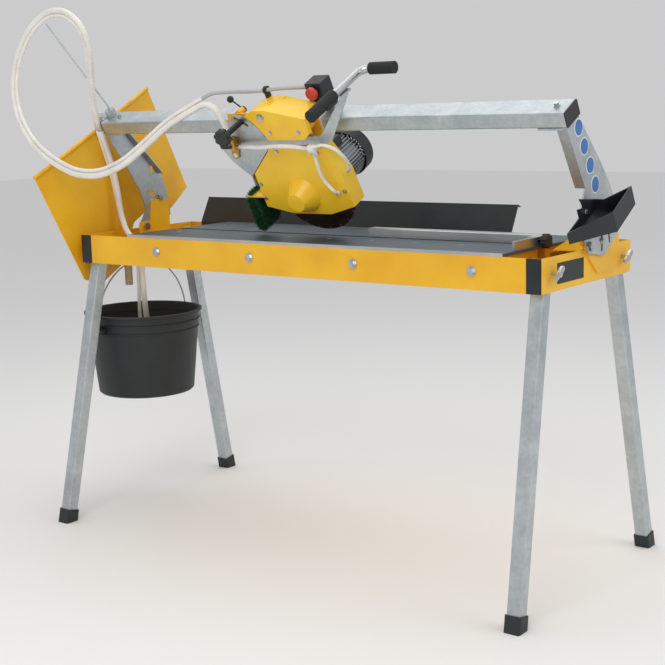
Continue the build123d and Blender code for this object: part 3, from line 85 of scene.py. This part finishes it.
# grain is the size of the pattern in mm, stretch draws it out along x, y, z, depth is its relief in mm
finishes = {
    # powder coat over folded steel: a faint orange peel under an even gloss
    "powderCoatYellow": dict(light="#F6C024", dark="#E6A81C", metal=0, rough=0.34, grain=2.5,
                             stretch=(1, 1, 1), depth=0.03, cloud=160),
    # the same coat on the formed hoods, made a little brighter as painted light
    "powderCoatHoodLit": dict(light="#FAD02A", dark="#F0B820", metal=0, rough=0.28, grain=2.5,
                           stretch=(1, 1, 1), depth=0.03, cloud=120),
    # black paint on sheet, slightly dusty from stone
    "blackPaint": dict(light="#22282A", dark="#14191A", metal=0, rough=0.42, grain=2,
                       stretch=(1, 1, 1), depth=0.03, cloud=90),
    # hot dipped zinc on tube: soft grey patches about 12 mm across
    "galvanisedSteel": dict(light="#C8CED0", dark="#AEB6B9", metal=0.85, rough=0.40, grain=12,
                            stretch=(1, 1, 1), depth=0.02, cloud=70),
    # drawn aluminium, with lines along its length
    "drawnAluminium": dict(light="#D2D3D2", dark="#B4B6B6", metal=0.9, rough=0.34, grain=1.6,
                           stretch=(0.04, 1, 1), depth=0.02, cloud=150),
    # zinc plated bolts, bright and smooth
    "platedFixings": dict(light="#D6D8D6", dark="#BABDBD", metal=1, rough=0.24, grain=4,
                          stretch=(1, 1, 1), depth=0.01, cloud=20),
    # sand cast motor shell, a rough grain of about 1.5 mm
    "castShell": dict(light="#A9AFB2", dark="#8B9296", metal=0.7, rough=0.52, grain=1.5,
                      stretch=(1, 1, 1), depth=0.12, cloud=60),
    # table plates: dark coat rubbed by stone, with long faint scratches
    "rubbedTable": dict(light="#56646A", dark="#3F4C52", metal=0.25, rough=0.46, grain=3,
                        stretch=(0.05, 1, 1), depth=0.03, cloud=110),
    # moulded black plastic with a fine spark texture, drawn a little coarse so that it shows
    "mouldedBlack": dict(light="#23292A", dark="#171C1D", metal=0, rough=0.5, grain=1.4,
                         stretch=(1, 1, 1), depth=0.08, cloud=80),
    "gripRubber": dict(light="#1D2021", dark="#121414", metal=0, rough=0.72, grain=2,
                       stretch=(1, 1, 1), depth=0.15, cloud=40),
    "nylonPad": dict(light="#DAD9D2", dark="#C9C8C0", metal=0, rough=0.55, grain=2,
                     stretch=(1, 1, 1), depth=0.03, cloud=40),
    "stopRed": dict(light="#C83C36", dark="#AE2C28", metal=0, rough=0.3, grain=3,
                    stretch=(1, 1, 1), depth=0.01, cloud=30),
    "startGreen": dict(light="#2E9150", dark="#227540", metal=0, rough=0.3, grain=3,
                       stretch=(1, 1, 1), depth=0.01, cloud=30),
    "castBrass": dict(light="#C8A45A", dark="#A98444", metal=1, rough=0.38, grain=2,
                      stretch=(1, 1, 1), depth=0.05, cloud=30),
    # clear hose over milky water, so it reads as off-white
    "milkyHose": dict(light="#F1EEE8", dark="#DEDAD2", metal=0, rough=0.36, grain=5,
                      stretch=(1, 1, 1), depth=0.02, cloud=60),
    "greyCable": dict(light="#B9BCBC", dark="#A3A7A8", metal=0, rough=0.5, grain=2,
                      stretch=(1, 1, 1), depth=0.03, cloud=60),
    "agedPipe": dict(light="#B9A98C", dark="#9C8B6E", metal=0, rough=0.45, grain=5,
                     stretch=(1, 1, 1), depth=0.03, cloud=40),
    # blade core: plain steel browned by heat and stone slurry
    "bladeCore": dict(light="#5A4438", dark="#3C2D26", metal=0.7, rough=0.42, grain=3,
                      stretch=(1, 1, 1), depth=0.04, cloud=45),
    # green polypropylene bristle
    "greenBristle": dict(light="#1F5A34", dark="#123E22", metal=0, rough=0.6, grain=4,
                         stretch=(1, 1, 1), depth=0.1, cloud=12),
    "blankSticker": dict(light="#F2F4F5", dark="#E6E9EB", metal=0, rough=0.4, grain=3,
                         stretch=(1, 1, 1), depth=0.0, cloud=30),
    "blueSticker": dict(light="#3C74B8", dark="#3268A8", metal=0, rough=0.38, grain=3,
                        stretch=(1, 1, 1), depth=0.0, cloud=30),
}


# how far the clouding outweighs the grain, where the two colours sit, and how gloss and relief vary
recipe = dict(cloudShare=0.6, darkAt=0.36, lightAt=0.64, smoother=0.06, rougher=0.08, relief=0.5)


def makeFinish(name, look):
    material = bpy.data.materials.new(name)
    material.use_nodes = True
    tree = material.node_tree
    shader = tree.nodes["Principled BSDF"]
    shader.inputs["Metallic"].default_value = look["metal"]
    where = addNode(tree, "ShaderNodeTexCoord")
    drawn = addNode(tree, "ShaderNodeMapping", sockets={"Scale": look["stretch"]},
                    links={"Vector": where.outputs["Object"]})
    fine = addNode(tree, "ShaderNodeTexNoise", sockets={"Scale": 1000 / look["grain"], "Detail": 3.0},
                   links={"Vector": drawn.outputs["Vector"]})
    cloud = addNode(tree, "ShaderNodeTexNoise", sockets={"Scale": 1000 / look["cloud"], "Detail": 4.0},
                    links={"Vector": where.outputs["Object"]})
    both = addNode(tree, "ShaderNodeMix", {"data_type": "FLOAT"}, {"Factor": recipe["cloudShare"]},
                   {"A": fine.outputs["Fac"], "B": cloud.outputs["Fac"]})
    colour = addNode(tree, "ShaderNodeValToRGB", links={"Fac": both.outputs["Result"]})
    colour.color_ramp.elements[0].position = recipe["darkAt"]
    colour.color_ramp.elements[1].position = recipe["lightAt"]
    colour.color_ramp.elements[0].color = fromHex(look["dark"])
    colour.color_ramp.elements[1].color = fromHex(look["light"])
    tree.links.new(colour.outputs["Color"], shader.inputs["Base Color"])
    worn = addNode(tree, "ShaderNodeMapRange",
                   sockets={"To Min": look["rough"] - recipe["smoother"],
                            "To Max": look["rough"] + recipe["rougher"]},
                   links={"Value": cloud.outputs["Fac"]})
    tree.links.new(worn.outputs["Result"], shader.inputs["Roughness"])
    if look["depth"]:
        relief = addNode(tree, "ShaderNodeBump",
                         sockets={"Strength": recipe["relief"], "Distance": look["depth"] / 1000},
                         links={"Height": fine.outputs["Fac"]})
        tree.links.new(relief.outputs["Normal"], shader.inputs["Normal"])
    return material


materials = {name: makeFinish(name, look) for name, look in finishes.items()}
print("finishes made,", len(materials))

coats = {
    "powderCoatYellow": ["water_tray", "tray_frame", "splash_guard", "tilt_bracket_left",
                         "tilt_bracket_right", "carriage_sleeve", "carrier_plate"],
    # the hoods get the copy of the yellow coat with painted light
    "powderCoatHoodLit": ["hood", "blade_cover"],
    "blackPaint": ["corner_straps", "splash_panel", "side_bin", "rating_plate"],
    "galvanisedSteel": ["legs", "rail", "support_left", "support_right", "swing_arm", "guard_bracket",
                        "hose_mast", "bucket_hook", "bucket_bail"],
    "platedFixings": ["bridge_bolts", "frame_fasteners", "tilt_bolts", "carriage_bolts", "cover_bolts",
                      "wing_screws", "blade_spindle"],
    "drawnAluminium": ["fence", "end_stop", "table_edge", "handle_bar"],
    "castShell": ["motor_housing"],
    "rubbedTable": ["table_plate_front", "table_plate_back"],
    "mouldedBlack": ["leg_feet", "rail_caps", "end_stop_knob", "plunge_knob", "latch_lever", "switch_box",
                     "motor_caps", "bucket", "water_pump", "cable_clamp", "valve_lever"],
    "nylonPad": ["slide_pads"],
    "gripRubber": ["hand_grips"],
    "stopRed": ["stop_button"],
    "startGreen": ["start_button"],
    "castBrass": ["water_valve"],
    "greyCable": ["switch_cable"],
    "agedPipe": ["drain_pipe"],
    "bladeCore": ["blade"],
    "greenBristle": ["splash_mat"],
    "milkyHose": ["feed_loop", "feed_drop", "pump_lines", "spray_hoses"],
}
for coat, names in coats.items():
    for name in names:
        nodes[name].data.materials.clear()
        nodes[name].data.materials.append(materials[coat])
bare = sorted(set(nodes) - {n for names in coats.values() for n in names})
print("CAD pieces without a finish:", bare)

# the bridge turns on a line along x through this y and z, and leans by this angle at rest
bridge = dict(lean=math.radians(28.2), y=-0.011, z=0.960)


def onBridge(x, b, u):  # metres along the leaning bridge's own directions
    lean = bridge["lean"]
    return Vector((x, bridge["y"] + b * math.cos(lean) - u * math.sin(lean),
                   bridge["z"] + b * math.sin(lean) + u * math.cos(lean)))


def asPiece(name, mesh, finish):
    piece = bpy.data.objects.new(name, mesh)
    bpy.context.scene.collection.objects.link(piece)
    piece.data.materials.clear()
    piece.data.materials.append(materials[finish])
    return piece


# hoses that run between two bodies, remade as smooth pieces: start and end are found, but no end is tied to a body
# and nothing bends
hoses = {
    "feed_loop": dict(piece="loopHose", bodies=("bridge", "carriage"), along=0, flip=False),
    "feed_drop": dict(piece="dropHose", bodies=("stand", "bridge"), along=2, flip=False),
    "pump_lines": dict(piece="pumpHoses", bodies=("stand", "bail"), along=2, flip=True),
    "spray_hoses": dict(piece="sprayHoses", bodies=("carriage", "head"), along=0, flip=False),
}
for name, hose in hoses.items():
    shape = bmesh.new()
    shape.from_mesh(nodes[name].data)
    bmesh.ops.remove_doubles(shape, verts=shape.verts, dist=0.00002)
    mesh = bpy.data.meshes.new(hose["piece"])
    shape.to_mesh(mesh)
    shape.free()
    for face in mesh.polygons:
        face.use_smooth = True
    piece = asPiece(hose["piece"], mesh, "milkyHose")
    low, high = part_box(name)
    start, end = Vector(low), Vector(low)
    end[hose["along"]] = high[hose["along"]]
    if hose["flip"]:
        start, end = end, start
    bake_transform(piece)
    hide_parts(name)
print("hoses made")

bristles = dict(length=0.016, width=0.0011, count=5200.0, seed=7, sides=3, tip=0.0002,
                lean=0.35, turn=6.28, leanSeed=3)
tree = bpy.data.node_groups.new("bristleMat", "GeometryNodeTree")
tree.interface.new_socket(name="Mat", in_out="INPUT", socket_type="NodeSocketGeometry")
sockets = {}
for key in ("length", "width", "count"):
    socket = tree.interface.new_socket(name=key, in_out="INPUT", socket_type="NodeSocketFloat")
    sockets[key] = socket.identifier
tree.interface.new_socket(name="Bristles", in_out="OUTPUT", socket_type="NodeSocketGeometry")
given = addNode(tree, "NodeGroupInput")
spots = addNode(tree, "GeometryNodeDistributePointsOnFaces", sockets={"Seed": bristles["seed"]},
                links={"Mesh": given.outputs["Mat"]})
area = sum(face.area for face in nodes["splash_mat"].data.polygons)
perArea = addNode(tree, "ShaderNodeMath", {"operation": "DIVIDE"}, {1: area}, {0: given.outputs["count"]})
tree.links.new(perArea.outputs[0], spots.inputs["Density"])
spike = addNode(tree, "GeometryNodeMeshCone", sockets={"Vertices": bristles["sides"], "Radius Top": bristles["tip"]},
                links={"Radius Bottom": given.outputs["width"], "Depth": given.outputs["length"]})
turned = addNode(tree, "FunctionNodeRandomValue", {"data_type": "FLOAT_VECTOR"},
                 {"Min": (-bristles["lean"], -bristles["lean"], 0.0),
                  "Max": (bristles["lean"], bristles["lean"], bristles["turn"]),
                  "Seed": bristles["leanSeed"]})
lean = addNode(tree, "FunctionNodeRotateRotation", {"rotation_space": "LOCAL"},
               links={"Rotation": spots.outputs["Rotation"], "Rotate By": turned.outputs["Value"]})
stood = addNode(tree, "GeometryNodeInstanceOnPoints",
                links={"Points": spots.outputs["Points"], "Instance": spike.outputs["Mesh"],
                       "Rotation": lean.outputs["Rotation"]})
real = addNode(tree, "GeometryNodeRealizeInstances", links={"Geometry": stood.outputs["Instances"]})
withMat = addNode(tree, "GeometryNodeJoinGeometry", links={"Geometry": real.outputs["Geometry"]})
tree.links.new(given.outputs["Mat"], withMat.inputs["Geometry"])
coated = addNode(tree, "GeometryNodeSetMaterial", sockets={"Material": materials["greenBristle"]},
                 links={"Geometry": withMat.outputs["Geometry"]})
addNode(tree, "NodeGroupOutput", links={"Bristles": coated.outputs["Geometry"]})
grower = bpy.data.objects.new("bristleGrower", nodes["splash_mat"].data.copy())
bpy.context.scene.collection.objects.link(grower)
modifier = grower.modifiers.new("bristles", "NODES")
modifier.node_group = tree
for key, identifier in sockets.items():
    modifier[identifier] = bristles[key]
grown = bpy.data.meshes.new_from_object(grower.evaluated_get(bpy.context.evaluated_depsgraph_get()))
bpy.data.objects.remove(grower)
matPiece = asPiece("bristleCurtain", grown, "greenBristle")
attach(matPiece, "head")
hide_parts("splash_mat")
print("bristle curtain made,", len(grown.polygons), "faces")

# four plain round stickers on the outer face of the right support
stickers = dict(across=0.047, thick=0.0005, rim=0.0022, places=[(0.089, 0.310), (0.094, 0.251),
                                                                (0.101, 0.190), (0.104, 0.129)])
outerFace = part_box("side_bin")[0][0]


def discMesh(name, radius, thick, centre, normal):
    shape = bmesh.new()
    bmesh.ops.create_cone(shape, cap_ends=True, segments=48, radius1=radius, radius2=radius * 0.985,
                          depth=thick)
    turn = Vector((0, 0, 1)).rotation_difference(normal).to_matrix().to_4x4()
    shape.transform(Matrix.Translation(centre + normal * thick / 2) @ turn)
    mesh = bpy.data.meshes.new(name)
    shape.to_mesh(mesh)
    shape.free()
    return mesh


for number, (b, u) in enumerate(stickers["places"]):
    middle = onBridge(outerFace, b, u)
    side = Vector((1, 0, 0))
    ring = discMesh(f"stickerRim{number}", stickers["across"] / 2, stickers["thick"], middle, side)
    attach(asPiece(f"stickerRim{number}", ring, "blankSticker"), "bridge")
    inner = discMesh(f"stickerFace{number}", stickers["across"] / 2 - stickers["rim"],
                     stickers["thick"] * 1.6, middle, side)
    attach(asPiece(f"stickerFace{number}", inner, "blueSticker"), "bridge")
print("stickers made")

# studio: pale floor, soft light
bpy.ops.mesh.primitive_plane_add(size=40, location=(0, 0, 0))
floor = bpy.context.object
floor.name = "studioFloor"
floorFinish = bpy.data.materials.new("paleFloor")
floorFinish.use_nodes = True
floorFinish.node_tree.nodes["Principled BSDF"].inputs["Base Color"].default_value = fromHex("#F4F4F3")
floorFinish.node_tree.nodes["Principled BSDF"].inputs["Roughness"].default_value = 0.9
floor.data.materials.append(floorFinish)
floor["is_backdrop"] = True

world = bpy.data.worlds.new("softRoom")
bpy.context.scene.world = world
world.use_nodes = True
world.node_tree.nodes["Background"].inputs["Color"].default_value = fromHex("#FBFBFC")
world.node_tree.nodes["Background"].inputs["Strength"].default_value = 0.62

lamps = {
    "keyLamp": dict(place=(1.2, -3.6, 3.6), power=62, size=2.6),
    "fillLamp": dict(place=(3.6, 0.6, 2.6), power=26, size=2.4),
    "topLamp": dict(place=(-0.6, 0.6, 3.8), power=30, size=3.2),
}
for name, lamp in lamps.items():
    light = bpy.data.lights.new(name, "AREA")
    light.energy = lamp["power"]
    light.size = lamp["size"]
    holder = bpy.data.objects.new(name, light)
    holder.location = lamp["place"]
    holder.rotation_mode = "QUATERNION"
    holder.rotation_quaternion = (Vector((0, 0, 0.9)) - Vector(lamp["place"])).to_track_quat("-Z", "Y")
    bpy.context.scene.collection.objects.link(holder)

view = dict(place=(2.47915, -3.19604, 1.3423), lens=70.83, down=0.17, aside=0.652, roll=0.027)
camera = bpy.data.objects.new("camera", bpy.data.cameras.new("camera"))
bpy.context.scene.collection.objects.link(camera)
camera.data.lens = view["lens"]
camera.data.sensor_width = 36
ahead = Vector((-math.sin(view["aside"]) * math.cos(view["down"]),
                math.cos(view["aside"]) * math.cos(view["down"]), -math.sin(view["down"])))
right = ahead.cross(Vector((0, 0, 1))).normalized()
above = right.cross(ahead)
top = above * math.cos(view["roll"]) + right * math.sin(view["roll"])
aside = right * math.cos(view["roll"]) - above * math.sin(view["roll"])
turn = Matrix((aside, top, -ahead)).transposed().to_4x4()
camera.matrix_world = Matrix.Translation(view["place"]) @ turn
bpy.context.scene.camera = camera
bpy.context.scene.view_settings.view_transform = "Standard"
print("studio made")

low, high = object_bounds()
